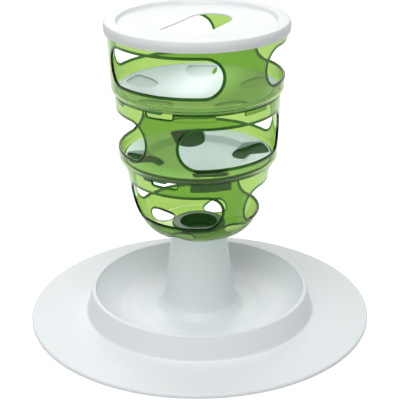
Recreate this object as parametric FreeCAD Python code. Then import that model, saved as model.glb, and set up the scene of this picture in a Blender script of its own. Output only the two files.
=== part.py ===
# Cat food maze: three see-through green tubs stacked on a white tray, with a white lid.
# Millimetres, +Z up, origin on the floor under the tray's centre.
# Azimuth 0 is the front (-Y), and it grows towards +X.
import FreeCAD, Part
import math
import os

os.makedirs("parts", exist_ok=True)
V = FreeCAD.Vector

# Fits between pieces
flat_gap = 0.0            # flat faces that rest on each other
slide_gap = 0.4           # curved faces that pass each other
sheet_gap = 0.4           # height of a selector disc above the floor it turns on
pivot_gap = 0.06          # radial play of a pin that turns in its hole

# White tray: brim, raised ring, feeding dish and hollow post
tray_radius = 185.0
tray_wall = 2.4
brim_top = 4.4
brim_edge_round = 1.8
rim_lift = 0.5            # the tray's edge floats above the floor, on the pads
ring_foot_radius = 121.9
ring_top_radius = 118.2
ring_lip_radius = 114.1
ring_height = 31.4
ring_crown = 1.6
dish_floor = 7.6
dish_floor_radius = 66.0
dish_bowl_radius = 97.0   # where the side of the dish is steepest halfway up
dish_bowl_height = 13.4
flare_radius = 50.0
post_foot_radius = 38.8
post_foot_height = 19.8
post_top_radius = 28.2
post_top_height = 103.0
spigot_radius = 25.3
spigot_wall = 2.1
spigot_top = 105.4

# Pads under the brim
pad_count = 4
pad_radius = 7.0
pad_ring_radius = 170.0
pad_first_azimuth = 45.0

# Green plastic
tub_wall = 2.6
tub_floor = 2.6
foot_round = 0.9          # rounding under the outside edge of the two upright tubs

# Lower tub: outer radius at each height, from the flat bottom to the rim
bowl_bottom = post_top_height + flat_gap
bowl_bottom_radius = 41.0
bowl_belly = ((48.0, 104.5), (53.6, 107.9), (59.0, 113.8), (64.2, 122.8), (68.2, 133.8), (71.2, 146.5))
bowl_neck_radius = 73.6
bowl_neck_height = 160.0
bowl_rim_radius = 77.3
bowl_rim_height = 180.8
boss_foot_radius = 28.6
boss_top_radius = 27.6
boss_top = 107.5
cup_taper = 1.2           # how much narrower the cup is at its floor
cup_radius = 19.8
cup_floor = 98.0
drain_count = 4
drain_azimuth = 65.3
drain_radius = 12.6
drain_ring_radius = 43.6
bowl_window = {"azimuth": -28.7, "height": 143.6, "half_height": 18.0, "half_span": 48.6}

# Middle tub
middle_bottom_radius = 80.2
middle_curl_radius = 83.2
middle_curl_height = 190.0
middle_rim_radius = 85.6
middle_rim_height = 255.0
middle_window = {"azimuth": 33.7, "height": 217.9, "half_height": 20.4, "half_span": 47.1}

# Upper tub
upper_bottom_radius = 86.0
upper_curl_radius = 89.2
upper_curl_height = 264.0
upper_rim_radius = 92.1
upper_rim_height = 327.2
upper_window = {"azimuth": -27.6, "height": 292.0, "half_height": 18.7, "half_span": 43.5}

windows_per_tub = 3

# Twist lock between two tubs, three times round
locks = 3
slot_corner = 2.5
lug_inset = 0.2           # how far a lug's face stands in from the wall's outside
tab_wall = 2.0
shelf_wall = 1.2          # thickness of the shelf at the foot of a tub
middle_lock = {"slot": (-38.0, -16.6), "depth": 7.5, "lug": (-37.2, -25.3), "lug_height": 3.3,
               "tab": (-6.6, 27.0), "tab_drop": 11.0, "key": (70.0, 78.0), "key_drop": 6.5}
upper_lock = {"slot": (-36.8, -17.0), "depth": 6.0, "lug": (-36.0, -25.0), "lug_height": 2.2,
              "tab": (-17.8, 12.4), "tab_drop": 8.5, "key": (34.0, 55.0), "key_drop": 6.5}

# Floor and selector disc of a tub, both dished
floor_wall = 1.2
disc_wall = 1.2
dish_depth = 10.5
sheet_air = 0.3           # air between a floor's sheet and the shelf's inner edge
foot_width = 1.8
pin_radius = 6.0
pin_length = 4.0

# Openings in floors and discs: azimuth of the middle of each
middle_floor_radius = 77.6
middle_floor_lift = 0.0   # how far the foot ring holds a floor above its lowest place
middle_floor_holes = (11.0, 131.0, 251.0)
middle_floor_hole = {"inner": 52.0, "outer": 73.9, "half_span": 13.0, "inner_round": 5.0, "outer_round": 3.0}
middle_disc_radius = 76.0
middle_disc_holes = (11.0, 101.0, 191.0, 281.0)
middle_hole = {"nose": 37.0, "half_width": 18.3, "outer": 74.5, "outer_round": 7.0}
upper_floor_radius = 82.4
upper_floor_lift = 1.2
upper_floor_holes = (-43.0, 37.0, 157.0)
upper_floor_hole = {"inner": 58.0, "outer": 75.4, "half_span": 8.5, "inner_round": 4.0, "outer_round": 3.0}
upper_disc_radius = 78.4
upper_disc_holes = (-112.0, -40.0, 32.0, 104.0, 176.0)
upper_hole = {"nose": 46.5, "half_width": 16.5, "outer": 76.0, "outer_round": 6.0}

# Raised flat border of the middle disc, hollow underneath
border_foot_radius = 48.5  # where its slope leaves the dish
border_crest_radius = 55.2
border_drop = 0.3         # how far its inner crest lies below the disc's rim

# Lid
lid_top = 329.6
lid_bottom = 318.5
lid_bottom_radius = 94.3
lid_belly_radius = 95.1
lid_belly_height = 325.0
lid_edge_radius = 93.3
lid_border_radius = 82.2
lid_panel_radius = 79.9
lid_panel_edge = 326.2
lid_panel_sag = 4.0
lid_wall = 1.8
slot_length = 99.0
slot_width = 46.0
slot_turn = 60.5          # angle of the filler slot from +X


def at(radius, azimuth, height=0.0):
    turn = math.radians(azimuth)
    return V(radius * math.sin(turn), -radius * math.cos(turn), height)


# A closed face in the XZ plane: each step is a point, or a (through, end) pair for an arc
def section(start, *steps):
    edges = []
    here = V(start[0], 0, start[1])
    for step in steps:
        if isinstance(step[0], tuple):
            through = V(step[0][0], 0, step[0][1])
            end = V(step[1][0], 0, step[1][1])
            edges.append(Part.Arc(here, through, end).toShape())
        else:
            end = V(step[0], 0, step[1])
            edges.append(Part.LineSegment(here, end).toShape())
        here = end
    edges.append(Part.LineSegment(here, V(start[0], 0, start[1])).toShape())
    return Part.Face(Part.Wire(edges))


def turned(start, *steps):
    return section(start, *steps).revolve(V(0, 0, 0), V(0, 0, 1), 360)


# A piece of a ring between two azimuths
def ring_piece(inner, outer, low, high, first, last):
    middle = (first + last) / 2
    sides = [Part.Arc(at(outer, first, low), at(outer, middle, low), at(outer, last, low)).toShape(),
             Part.LineSegment(at(outer, last, low), at(inner, last, low)).toShape(),
             Part.Arc(at(inner, last, low), at(inner, middle, low), at(inner, first, low)).toShape(),
             Part.LineSegment(at(inner, first, low), at(outer, first, low)).toShape()]
    return Part.Face(Part.Wire(sides)).extrude(V(0, 0, high - low))


# Upright edges of a ring piece that stand on its inner or outer side
def upright_edges(shape, radius):
    found = []
    for edge in shape.Edges:
        ends = [vertex.Point for vertex in edge.Vertexes]
        if len(ends) == 2 and abs(ends[0].z - ends[1].z) > 0.5:
            if abs(math.hypot(ends[0].x, ends[0].y) - radius) < 0.01:
                found.append(edge)
    return found


# A fan-shaped opening with rounded corners, as a tool to cut with
def fan_tool(inner, outer, first, last, inner_round, outer_round, low, high):
    tool = ring_piece(inner, outer, low, high, first, last)
    tool = tool.makeFillet(inner_round, upright_edges(tool, inner))
    return tool.makeFillet(outer_round, upright_edges(tool, outer))


# An opening that is round towards the middle and follows the rim at its other end, as a tool to cut with
def round_nosed_tool(hole, azimuth, low, high, grown=0.0):
    half_width = hole["half_width"] + grown
    outer = hole["outer"] + grown
    nose_middle = hole["nose"] + hole["half_width"]
    height = high - low
    tool = Part.makeBox(2 * half_width, outer - nose_middle, height, V(-half_width, -outer, low))
    tool = tool.common(Part.makeCylinder(outer, height, V(0, 0, low)))
    tool = tool.makeFillet(hole["outer_round"] + grown, upright_edges(tool, outer))
    tool = tool.fuse(Part.makeCylinder(half_width, height, V(0, -nose_middle, low)))
    tool.rotate(V(0, 0, 0), V(0, 0, 1), azimuth)
    return tool


# A long window with round ends in a tub's wall
def window_tool(radius, azimuth, height, half_height, half_span):
    reach = 14.0
    inner = radius - reach
    outer = radius + reach
    end = half_span - math.degrees(math.asin(half_height / radius))
    tool = ring_piece(inner, outer, height - half_height, height + half_height, azimuth - end, azimuth + end)
    for side in (azimuth - end, azimuth + end):
        tool = tool.fuse(Part.makeCylinder(half_height, 2 * reach, at(inner, side, height), at(1, side)))
    return tool


def cut_windows(shape, radius, window):
    for step in range(windows_per_tub):
        turn = window["azimuth"] + step * 360.0 / windows_per_tub
        tool = window_tool(radius, turn, window["height"], window["half_height"], window["half_span"])
        shape = shape.cut(tool)
    return shape


# Slots in the top edge of a tub that take the lugs of the tub above
def cut_lock_slots(shape, rim_radius, rim_height, lock):
    for step in range(locks):
        turn = step * 360.0 / locks
        first = lock["slot"][0] + turn
        last = lock["slot"][1] + turn
        low = rim_height - lock["depth"]
        tool = ring_piece(rim_radius - 8, rim_radius + 4, low, rim_height + 4, first, last)
        corners = []
        for edge in tool.Edges:
            ends = [vertex.Point for vertex in edge.Vertexes]
            if len(ends) == 2 and max(ends[0].z, ends[1].z) < low + 0.01:
                if abs(math.hypot(ends[0].x, ends[0].y) - math.hypot(ends[1].x, ends[1].y)) > 5:
                    corners.append(edge)
        shape = shape.cut(tool.makeFillet(slot_corner, corners))
    return shape


# Outer radius of a tab that hangs inside a wall which narrows downwards
def tab_radius(rim_radius, slant, lock):
    return rim_radius - tub_wall - slide_gap - slant * lock["tab_drop"]


# Lugs in the slots of the tub below, and tabs that hang inside its rim
def lock_parts(low, rim_radius, slant, lock):
    outer = tab_radius(rim_radius, slant, lock)
    inner = outer - tab_wall
    pieces = []
    for step in range(locks):
        turn = step * 360.0 / locks
        for reach, drop, span in ((rim_radius - lug_inset, lock["lug_height"], lock["lug"]),
                                  (outer, lock["tab_drop"], lock["tab"]),
                                  (outer, lock["key_drop"], lock["key"])):
            pieces.append(ring_piece(inner, reach, low - drop, low, span[0] + turn, span[1] + turn))
    return pieces


def make_tray():
    under = brim_top - tray_wall
    steep = (dish_bowl_radius, dish_bowl_height)
    slant = (post_foot_radius - post_top_radius) / (post_top_height - post_foot_height)
    flare_mid = (post_foot_radius + 2.4, dish_floor + 5.6)
    inside_ring = ring_top_radius - tray_wall
    bore = spigot_radius - spigot_wall
    return turned(
        (tray_radius, rim_lift),
        (tray_radius, brim_top - brim_edge_round),
        ((tray_radius - 0.3 * brim_edge_round, brim_top - 0.3 * brim_edge_round),
         (tray_radius - brim_edge_round, brim_top)),
        (ring_foot_radius + 3.0, brim_top + 0.3),
        ((ring_foot_radius + 0.7, brim_top + 1.1), (ring_foot_radius - 0.3, brim_top + 3.0)),
        (ring_top_radius, ring_height - ring_crown),
        ((ring_top_radius - 0.7, ring_height - 0.4), (ring_top_radius - 1.8, ring_height)),
        (ring_lip_radius, ring_height),
        (steep, (dish_floor_radius, dish_floor)),
        (flare_radius, dish_floor),
        (flare_mid, (post_foot_radius, post_foot_height)),
        (post_top_radius, post_top_height - 1.0),
        ((post_top_radius - 0.3, post_top_height - 0.3), (post_top_radius - 1.0, post_top_height)),
        (spigot_radius, post_top_height),
        (spigot_radius, spigot_top),
        (bore, spigot_top),
        (bore, post_top_height - tray_wall),
        (post_top_radius - tray_wall, post_top_height - 2 * tray_wall),
        (post_foot_radius - tray_wall + slant, post_foot_height - 1.0),
        ((flare_mid[0] - 1.7, flare_mid[1] - 1.7), (flare_radius + 0.6, dish_floor - tray_wall)),
        (dish_floor_radius + 0.4, dish_floor - tray_wall),
        ((dish_bowl_radius + 1.0, dish_bowl_height - 2.3), (inside_ring - 2.0, ring_height - 7.5)),
        ((inside_ring - 1.2, ring_height - 6.6), (inside_ring - 0.2, ring_height - 7.5)),
        (ring_foot_radius - tray_wall, brim_top + 1.0),
        (ring_foot_radius - tray_wall + 1.6, under),
        (tray_radius - tray_wall, under),
        (tray_radius - tray_wall, rim_lift))


def make_pads():
    top = brim_top - tray_wall
    pads = []
    for step in range(pad_count):
        place = at(pad_ring_radius, pad_first_azimuth + step * 360.0 / pad_count)
        pad = Part.makeCylinder(pad_radius, top, place)
        rims = [edge for edge in pad.Edges if len(edge.Vertexes) == 1 and edge.Vertexes[0].Point.z < 0.01]
        pads.append(pad.makeFillet(0.4, rims))
    return Part.makeCompound(pads)


def make_lower_tub():
    outside = [(bowl_bottom_radius, bowl_bottom)] + list(bowl_belly)
    outside += [(bowl_neck_radius, bowl_neck_height), (bowl_rim_radius, bowl_rim_height)]
    curve = Part.BSplineCurve()
    curve.interpolate([V(radius, 0, height) for radius, height in outside])
    inner_curve = Part.BSplineCurve()
    inner_curve.interpolate([V(radius, 0, height) for radius, height in shifted(outside, tub_wall)])
    top_outer = V(bowl_rim_radius, 0, bowl_rim_height)
    top_inner = inner_curve.value(inner_curve.LastParameter)
    foot_inner = inner_curve.value(inner_curve.FirstParameter)
    axis_low = V(0, 0, bowl_bottom)
    axis_high = V(0, 0, foot_inner.z)
    edges = [curve.toShape(),
             Part.LineSegment(top_outer, top_inner).toShape(),
             inner_curve.toShape(),
             Part.LineSegment(foot_inner, axis_high).toShape(),
             Part.LineSegment(axis_high, axis_low).toShape(),
             Part.LineSegment(axis_low, V(bowl_bottom_radius, 0, bowl_bottom)).toShape()]
    shell = Part.Face(Part.Wire(edges)).revolve(V(0, 0, 0), V(0, 0, 1), 360)

    # The boss is a cap over the post's spigot, and its cup hangs in the post's bore
    boss = turned((0, bowl_bottom), (boss_foot_radius, bowl_bottom), (boss_foot_radius, bowl_bottom + tub_floor),
                  (boss_top_radius, boss_top - 1.0),
                  ((boss_top_radius - 0.3, boss_top - 0.3), (boss_top_radius - 1.0, boss_top)), (0, boss_top))
    cup = turned((0, cup_floor), (cup_radius - cup_taper, cup_floor), (cup_radius, boss_top + 1), (0, boss_top + 1))
    socket_outer = spigot_radius + slide_gap
    socket_inner = spigot_radius - spigot_wall - slide_gap
    groove = turned((socket_inner, bowl_bottom - 1), (socket_outer, bowl_bottom - 1),
                    (socket_outer, spigot_top + slide_gap), (socket_inner, spigot_top + slide_gap))
    plug_low = cup_floor - tub_floor
    plug = Part.makeCylinder(socket_inner, bowl_bottom - plug_low, V(0, 0, plug_low))
    tub = shell.fuse([boss, plug]).cut(cup).cut(groove)
    for step in range(drain_count):
        place = at(drain_ring_radius, drain_azimuth + step * 360.0 / drain_count, bowl_bottom - 1)
        tub = tub.cut(Part.makeCylinder(drain_radius, 25, place))
    tub = cut_windows(tub, bowl_neck_radius, bowl_window)
    return cut_lock_slots(tub, bowl_rim_radius, bowl_rim_height, middle_lock)


# The same outline moved inwards by a wall, square to the line between its neighbours
def shifted(points, wall):
    moved = []
    for index, (radius, height) in enumerate(points):
        before = points[max(index - 1, 0)]
        after = points[min(index + 1, len(points) - 1)]
        run = after[0] - before[0]
        rise = after[1] - before[1]
        length = math.hypot(run, rise)
        moved.append((radius - wall * rise / length, height + wall * run / length))
    moved[0] = (points[0][0], points[0][1] + wall)
    moved[-1] = (points[-1][0] - wall, points[-1][1])
    return moved


def make_upright_tub(bottom, bottom_radius, curl_radius, curl_height, rim_radius, rim_height, shelf_inner):
    shelf_top = bottom + shelf_wall
    curl_mid = (bottom_radius + 0.72 * (curl_radius - bottom_radius), bottom + 0.42 * (curl_height - bottom))
    wall_foot = bottom_radius - tub_wall + 0.6
    return turned(
        (shelf_inner, bottom), (bottom_radius - foot_round, bottom),
        ((bottom_radius - 0.29 * foot_round, bottom + 0.29 * foot_round), (bottom_radius, bottom + foot_round)),
        (curl_mid, (curl_radius, curl_height)),
        (rim_radius, rim_height),
        (rim_radius - tub_wall, rim_height),
        (curl_radius - tub_wall, curl_height),
        ((curl_mid[0] - tub_wall, curl_mid[1] + 0.4), (wall_foot, shelf_top + 0.6)),
        (wall_foot, shelf_top),
        (shelf_inner, shelf_top))


def make_middle_tub():
    bottom = bowl_rim_height + flat_gap
    tub = make_upright_tub(bottom, middle_bottom_radius, middle_curl_radius, middle_curl_height,
                           middle_rim_radius, middle_rim_height, middle_shelf)
    tub = tub.fuse(lock_parts(bottom, bowl_rim_radius, bowl_slant, middle_lock)).removeSplitter()
    tub = cut_windows(tub, middle_curl_radius, middle_window)
    return cut_lock_slots(tub, middle_rim_radius, middle_rim_height, upper_lock)


def make_upper_tub():
    bottom = middle_rim_height + flat_gap
    tub = make_upright_tub(bottom, upper_bottom_radius, upper_curl_radius, upper_curl_height,
                           upper_rim_radius, upper_rim_height, upper_shelf)
    tub = tub.fuse(lock_parts(bottom, middle_rim_radius, middle_slant, upper_lock)).removeSplitter()
    return cut_windows(tub, upper_curl_radius, upper_window)


# Rise of a dished sheet above its middle: part of a sphere that rises dish_depth at the full radius
def dish_rise(full, radius):
    ball = (full ** 2 + dish_depth ** 2) / (2 * dish_depth)
    return ball - math.sqrt(ball ** 2 - radius ** 2)


# A dished sheet whose top passes through the rim height at the full radius, cut off at a smaller one
def dished(full, outer, rim_top, wall):
    low = rim_top - dish_depth
    middle = outer / 2
    half = low + dish_rise(full, middle)
    edge = low + dish_rise(full, outer)
    return turned((0, low - wall), ((middle, half - wall), (outer, edge - wall)), (outer, edge),
                  ((middle, half), (0, low)))


# Height of a floor's rim: its sheet clears the inner edge of the shelf that carries it
def floor_top(seat, outer, shelf_inner, lift):
    return seat + lift + sheet_air + floor_wall + dish_depth - dish_rise(outer, shelf_inner)


# Fixed floor: a dished sheet with a foot ring that stands on the tub's shelf
def make_floor(seat, top, outer, hole, azimuths):
    foot = turned((outer - foot_width, seat), (outer, seat), (outer, top), (outer - foot_width, top - 0.6))
    floor = dished(outer, outer, top, floor_wall).fuse(foot).removeSplitter()
    low = top - dish_depth - floor_wall - 2
    for azimuth in azimuths:
        first = azimuth - hole["half_span"]
        last = azimuth + hole["half_span"]
        floor = floor.cut(fan_tool(hole["inner"], hole["outer"], first, last,
                                   hole["inner_round"], hole["outer_round"], low, top + 2))
    return floor.cut(Part.makeCylinder(pin_radius + pivot_gap, 20, V(0, 0, low)))


# Selector disc: lies in the floor's dish and turns on a pin in its middle
def make_disc(floor_height, floor_radius, outer, hole, azimuths, border=False):
    top = floor_height + sheet_gap + disc_wall
    deep = top - dish_depth
    low = deep - disc_wall - pin_length
    disc = dished(floor_radius, outer, top, disc_wall)
    pin = Part.makeCylinder(pin_radius, pin_length, V(0, 0, deep - disc_wall / 2 - pin_length))
    disc = disc.fuse(pin).removeSplitter()
    if border:
        disc = add_border(disc, deep, floor_radius, outer, hole, azimuths)
    for azimuth in azimuths:
        disc = disc.cut(round_nosed_tool(hole, azimuth, low, top + 5))
    return disc


# Raised flat border: a slope and a shelf of the disc's own wall, with a wall round each opening
def add_border(disc, deep, floor_radius, outer, hole, azimuths):
    foot = deep + dish_rise(floor_radius, border_foot_radius)
    rim = deep + dish_rise(floor_radius, outer)
    crest = rim - border_drop
    solid = turned((border_foot_radius, foot), (border_foot_radius, foot - disc_wall / 2),
                   (outer, rim - disc_wall / 2), (outer, rim), (border_crest_radius, crest))
    lean = disc_wall * math.tan(math.atan2(crest - foot, border_crest_radius - border_foot_radius) / 2)
    low = deep - disc_wall
    hollow = turned((border_foot_radius + lean, low), (outer - disc_wall, low), (outer - disc_wall, rim - disc_wall),
                    (border_crest_radius + lean, crest - disc_wall), (border_foot_radius + lean, foot - disc_wall))
    for azimuth in azimuths:
        hollow = hollow.cut(round_nosed_tool(hole, azimuth, low - 1, rim + 1, grown=disc_wall))
    return disc.fuse(solid).cut(hollow)


def make_lid():
    border_under = upper_rim_height + flat_gap
    skirt_inner = upper_rim_radius + slide_gap
    panel_mid = lid_panel_radius / math.sqrt(2)
    sag = lid_panel_edge - lid_panel_sag / 2
    lid = turned(
        (skirt_inner, lid_bottom), (lid_bottom_radius, lid_bottom),
        ((lid_belly_radius, lid_belly_height), (lid_edge_radius + 1.2, lid_top - 1.2)),
        ((lid_edge_radius + 0.8, lid_top - 0.4), (lid_edge_radius - 0.4, lid_top)),
        (lid_border_radius, lid_top),
        (lid_panel_radius, lid_panel_edge),
        ((panel_mid, sag), (0, lid_panel_edge - lid_panel_sag)),
        (0, lid_panel_edge - lid_panel_sag - lid_wall),
        ((panel_mid, sag - lid_wall), (lid_panel_radius + 0.6, lid_panel_edge - lid_wall)),
        (lid_border_radius + 0.6, border_under),
        (skirt_inner, border_under))
    turn = math.radians(slot_turn)
    along = V(math.cos(turn), math.sin(turn), 0)
    half_run = (slot_length - slot_width) / 2
    low = lid_panel_edge - lid_panel_sag - lid_wall - 2
    slot = Part.makeBox(2 * half_run, slot_width, 12, V(-half_run, -slot_width / 2, low))
    slot.rotate(V(0, 0, 0), V(0, 0, 1), slot_turn)
    for side in (-half_run, half_run):
        slot = slot.fuse(Part.makeCylinder(slot_width / 2, 12, along * side + V(0, 0, low)))
    return lid.cut(slot)


def write(name, shape):
    shape = shape.removeSplitter() if len(shape.Solids) == 1 else shape
    print(name, "solids", len(shape.Solids), "volume", round(shape.Volume), "valid", shape.isValid())
    shape.exportStep("parts/" + name + ".step")


bowl_slant = (bowl_rim_radius - bowl_neck_radius) / (bowl_rim_height - bowl_neck_height)
middle_slant = (middle_rim_radius - middle_curl_radius) / (middle_rim_height - middle_curl_height)
middle_shelf = tab_radius(bowl_rim_radius, bowl_slant, middle_lock) - tab_wall
upper_shelf = tab_radius(middle_rim_radius, middle_slant, upper_lock) - tab_wall
middle_seat = bowl_rim_height + flat_gap + shelf_wall
upper_seat = middle_rim_height + flat_gap + shelf_wall
middle_top = floor_top(middle_seat, middle_floor_radius, middle_shelf, middle_floor_lift)
upper_top = floor_top(upper_seat, upper_floor_radius, upper_shelf, upper_floor_lift)

write("base_tray", make_tray())
write("antislip_pads", make_pads())
write("lower_tub", make_lower_tub())
write("middle_tub", make_middle_tub())
write("upper_tub", make_upper_tub())
write("middle_floor", make_floor(middle_seat, middle_top, middle_floor_radius,
                                 middle_floor_hole, middle_floor_holes))
write("upper_floor", make_floor(upper_seat, upper_top, upper_floor_radius,
                                upper_floor_hole, upper_floor_holes))
write("middle_selector_disc", make_disc(middle_top, middle_floor_radius, middle_disc_radius,
                                        middle_hole, middle_disc_holes, border=True))
write("upper_selector_disc", make_disc(upper_top, upper_floor_radius, upper_disc_radius,
                                       upper_hole, upper_disc_holes))
write("lid", make_lid())
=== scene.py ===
# Cat food maze: three see-through green tubs on a white feeding tray, under a slotted white lid
import math
import bmesh
import bpy
import numpy as np
from mathutils import Matrix, Vector


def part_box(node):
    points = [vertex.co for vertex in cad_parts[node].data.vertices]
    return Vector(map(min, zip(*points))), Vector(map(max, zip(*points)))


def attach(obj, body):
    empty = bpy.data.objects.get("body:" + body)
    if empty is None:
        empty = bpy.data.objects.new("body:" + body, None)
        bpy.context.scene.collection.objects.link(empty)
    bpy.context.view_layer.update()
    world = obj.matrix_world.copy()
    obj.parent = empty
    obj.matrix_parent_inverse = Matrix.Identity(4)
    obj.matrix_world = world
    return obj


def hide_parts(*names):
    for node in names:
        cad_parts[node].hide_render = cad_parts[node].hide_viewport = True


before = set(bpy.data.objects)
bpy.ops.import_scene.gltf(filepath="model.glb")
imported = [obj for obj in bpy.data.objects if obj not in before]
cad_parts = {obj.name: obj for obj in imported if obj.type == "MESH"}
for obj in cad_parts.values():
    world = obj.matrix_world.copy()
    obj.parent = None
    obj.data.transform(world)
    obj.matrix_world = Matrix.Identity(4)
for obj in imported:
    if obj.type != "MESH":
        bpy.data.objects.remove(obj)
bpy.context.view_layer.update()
print("frame loaded:", ", ".join(sorted(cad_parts)))

# Sizes are in millimetres and degrees. Azimuth 0 is the front, and azimuths grow towards +X.
# A section is a line of (radius, height) points, with a third number where its corner is rounded
millimetre = 0.001                          # in metres, the scene's unit
columns = 480                               # round every turned surface
stepAngle = 360 / columns
mainKind, edgeKind, deepShadeKind = 0, 1, 2      # a face takes the first, second or third material of its piece


# Arc of a circle from one angle to another: the centre plus the radius times (cosine, sine)
def arcOf(x, y, radius, start, end, count=40):
    angle = np.radians(np.linspace(start, end, count))
    return np.stack([x + radius * np.cos(angle), y + radius * np.sin(angle)], 1)


# Arc through three points, from the first to the last. With the points as complex numbers, the centre
# follows from the ratio of the two chords that leave the first point
def arcThrough(first, middle, last, count=24):
    a, b, c = (complex(*point) for point in (first, middle, last))
    ratio = (c - a) / (b - a)
    centre = (b - a) * (ratio - abs(ratio) ** 2) / (2j * ratio.imag) + a
    start = np.angle(a - centre)
    turn = np.angle((c - centre) / (a - centre))
    if np.angle((b - centre) / (a - centre)) * turn < 0:      # the middle point is on the longer way round
        turn -= math.copysign(2 * math.pi, turn)
    points = centre + abs(a - centre) * np.exp(1j * (start + turn * np.linspace(0, 1, count)))
    return np.stack([points.real, points.imag], 1)


# How far along a line each of its points lies: the sum of the chords before it
def lengthAlong(line):
    return np.r_[0, np.cumsum(np.hypot(*np.diff(line, axis=0).T))]


# Points of a line at given lengths, where at holds the length at each of its own points
def pointsAt(line, at, where):
    return np.stack([np.interp(where, at, line[:, 0]), np.interp(where, at, line[:, 1])], 1)


# Directions a quarter turn to the right of each step: (x, y) becomes (y, -x), of length 1
def rightOf(steps):
    unit = steps / np.hypot(*steps.T)[:, None]
    return np.stack([unit[:, 1], -unit[:, 0]], 1)


# Natural cubic curve through the points, measured along the chords between them: each stretch is a cubic,
# slope and bend agree where two of them meet, and the bend is nought at both ends
def smoothThrough(points, count):
    p = np.array(points, float)
    at = lengthAlong(p)
    gap = np.diff(at)
    size = len(p)
    sides, bends = np.eye(size), np.zeros((size, 2))
    for i in range(1, size - 1):
        sides[i, i - 1:i + 2] = gap[i - 1], 2 * (gap[i - 1] + gap[i]), gap[i]
        bends[i] = 6 * ((p[i + 1] - p[i]) / gap[i] - (p[i] - p[i - 1]) / gap[i - 1])
    bends = np.linalg.solve(sides, bends)
    t = np.linspace(0, at[-1], count)
    k = np.clip(np.searchsorted(at, t, side="right") - 1, 0, size - 2)
    after, before, g = (t - at[k])[:, None], (at[k + 1] - t)[:, None], gap[k][:, None]
    return ((bends[k] * before ** 3 + bends[k + 1] * after ** 3) / (6 * g)
            + (p[k] / g - bends[k] * g / 6) * before + (p[k + 1] / g - bends[k + 1] * g / 6) * after)


# A line from point to point with rounded corners. An arc starts radius / tan(half the corner's angle)
# before the corner and ends as far after it
def roundedLine(corners, count=7):
    straight = 1.56                         # half angle, in radians, past which there is no corner
    points = [np.array(corner[:2], float) for corner in corners]
    made = [points[0]]
    for i in range(1, len(points) - 1):
        radius = corners[i][2] if len(corners[i]) > 2 else 0
        back, on = points[i - 1] - points[i], points[i + 1] - points[i]
        back, on = back / np.hypot(*back), on / np.hypot(*on)
        half = math.acos(max(-1.0, min(1.0, float(back @ on)))) / 2
        if radius == 0 or half > straight:
            made.append(points[i])
            continue
        reach = radius / math.tan(half)
        inward = (back + on) / np.hypot(*(back + on))
        middle = points[i] + inward * (radius / math.sin(half) - radius)
        made.extend(arcThrough(points[i] + back * reach, middle, points[i] + on * reach, count))
    made.append(points[-1])
    return np.array(made)


# Place in space: the radius times (sine, minus cosine) of the azimuth, and the height
def turnedPoint(azimuth, radius, height):
    turn = np.radians(azimuth)
    return np.stack(np.broadcast_arrays(radius * np.sin(turn), -radius * np.cos(turn), height), -1)


# Grid of a section carried round the axis: a row for each of its points, a column for each azimuth
def turnedGrid(line, azimuths):
    return turnedPoint(azimuths[None, :], line[:, :1], line[:, 1:])


# A wall's outer skin, with its length so far and its outward normal at each point of the section.
# From the point with the number firstRising on it only rises
def wallLine(line, firstRising=0):
    return {"radius": line[:, 0], "height": line[:, 1], "length": lengthAlong(line),
            "out": rightOf(np.gradient(line, axis=0)), "rising": slice(firstRising, None)}


# Length along a wall's rising part at a height
def lengthAt(wall, height):
    return np.interp(height, wall["height"][wall["rising"]], wall["length"][wall["rising"]])


# (radius, height) in a wall: the point of its skin at a length, less a depth times the outward normal
def inWall(wall, length, depth):
    at = wall["length"]
    radius = np.interp(length, at, wall["radius"]) - depth * np.interp(length, at, wall["out"][:, 0])
    height = np.interp(length, at, wall["height"]) - depth * np.interp(length, at, wall["out"][:, 1])
    return radius, height


# A hole's outline is drawn in the flat (x, y) of its sheet and runs anticlockwise. The numbers of the four
# points that face the corners of its frame come with it, low left first.
# Long hole: two straight sides and a half circle at each end
def stadiumOutline(halfRun, radius):
    arcs = [(halfRun, -90, -45), (halfRun, -45, 45), (halfRun, 45, 90),
            (-halfRun, 90, 135), (-halfRun, 135, 225), (-halfRun, 225, 270)]
    parts = [arcOf(x, 0, radius, start, end) for x, start, end in arcs]
    ends = np.cumsum([len(part) for part in parts]) - 1
    return np.concatenate(parts), [ends[4], ends[0], ends[1], ends[3]]


# Round hole: four quarter circles
def roundOutline(radius):
    parts = [arcOf(0, 0, radius, start, start + 90) for start in (-135, -45, 45, 135)]
    ends = np.cumsum([len(part) for part in parts]) - 1
    return np.concatenate(parts), [ends[3], ends[0], ends[1], ends[2]]


# Round-nosed hole: a half circle towards the middle, straight sides, and an outer end that follows the rim
# between two rounded corners. The right half is drawn and then mirrored
def noseOutline(nose, halfWidth, outer, outerRound):
    nosePoints, cornerPoints = 31, 25
    cornerX = halfWidth - outerRound
    cornerY = math.sqrt((outer - outerRound) ** 2 - cornerX ** 2)
    turn = math.degrees(math.atan2(cornerY, cornerX))
    right = np.concatenate([arcOf(0, nose + halfWidth, halfWidth, -90, 0, nosePoints),
                            arcOf(cornerX, cornerY, outerRound, 0, turn, cornerPoints),
                            arcOf(0, 0, outer, turn, 90, cornerPoints)[1:]])
    left = (right * [-1, 1])[::-1]
    low, high, last = nosePoints // 2, nosePoints + cornerPoints // 2, 2 * len(right) - 2
    return np.concatenate([right, left[1:-1]]), [last - low, low, high, last - high]


# Points along an outline, so many on each of its four sides, and the direction out of the hole at each:
# a quarter turn to the right of the way along
def alongOutline(outline, corners, counts):
    near = 0.15                             # the way along runs from this far before a point to as far after
    loop = np.vstack([outline, outline[:1]])
    at = lengthAlong(loop)
    marks = [at[corner] for corner in corners]
    where = []
    for side in range(4):
        start, end = marks[side], marks[(side + 1) % 4]
        where.append(np.linspace(start, end + (at[-1] if end <= start else 0), counts[side] + 1)[:-1])
    where = np.concatenate(where)
    before, after = (pointsAt(loop, at, (where + step) % at[-1]) for step in (-near, near))
    return pointsAt(loop, at, where % at[-1]), rightOf(after - before)


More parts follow.
